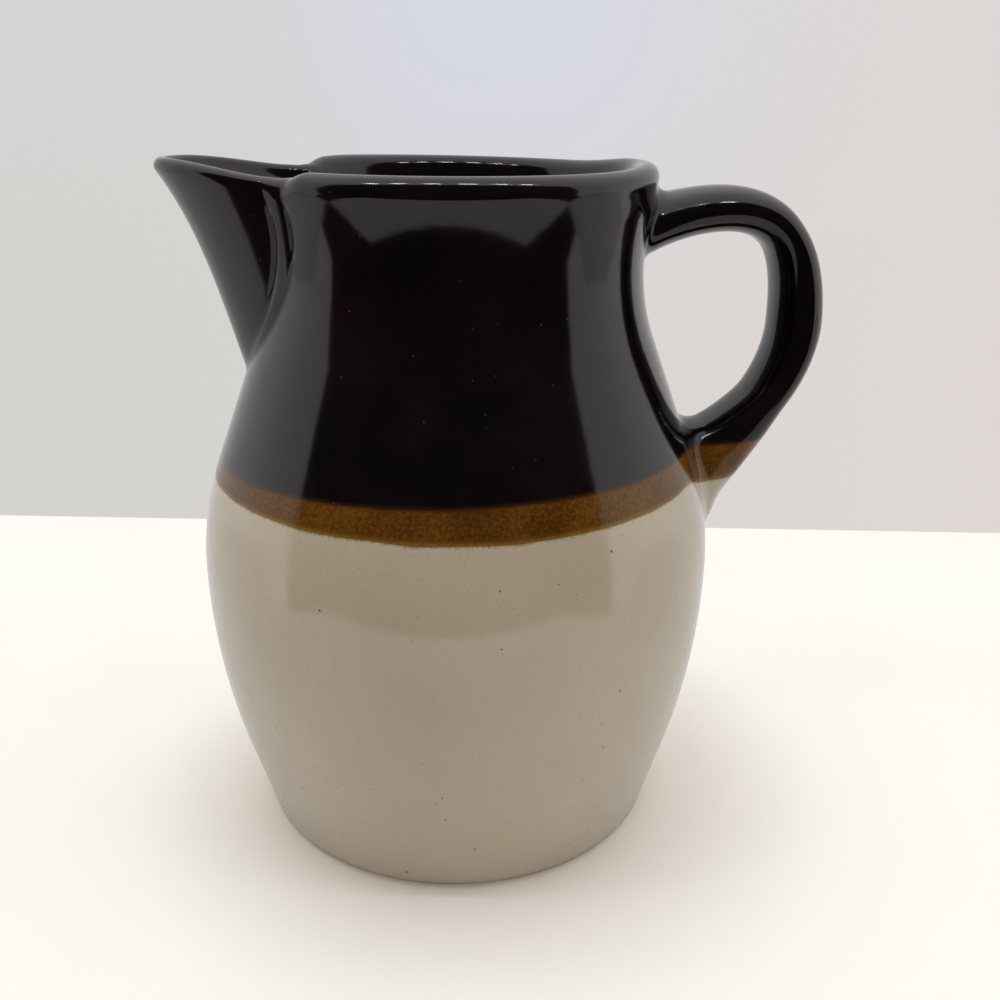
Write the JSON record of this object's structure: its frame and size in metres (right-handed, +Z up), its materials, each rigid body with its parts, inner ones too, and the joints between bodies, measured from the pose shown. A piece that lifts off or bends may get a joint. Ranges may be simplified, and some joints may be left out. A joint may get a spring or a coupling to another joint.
{
  "type": "stoneware pitcher",
  "caption": "Round-bellied stoneware pitcher with a wide let-in spout, a pulled loop handle and a two-tone glaze parted by a brown band, for holding and pouring drinks.",
  "frame": {"origin": "on the axis of the body, at the plane of the foot ring that the pitcher stands on", "axes": "+Z up along the axis of the body, +X out through the handle, -X out through the spout, +Y across"},
  "size_m": [0.1944, 0.1556, 0.2013],
  "materials": {
    "clay": "bare fired stoneware, matte",
    "cream_glaze": "glossy cream glaze with fine iron specks",
    "band_glaze": "glossy amber-brown glaze, slightly mottled",
    "dark_glaze": "glossy near-black brown glaze",
    "liner_glaze": "glossy near-black brown lining glaze"
  },
  "bodies": {
    "root": {"body": "clay", "spout": "clay", "handle": "clay", "cream_glaze": "cream_glaze", "brown_band": "band_glaze", "dark_glaze": "dark_glaze", "spout_glaze": "dark_glaze", "liner_glaze": "liner_glaze"}
  },
  "joints": []
}
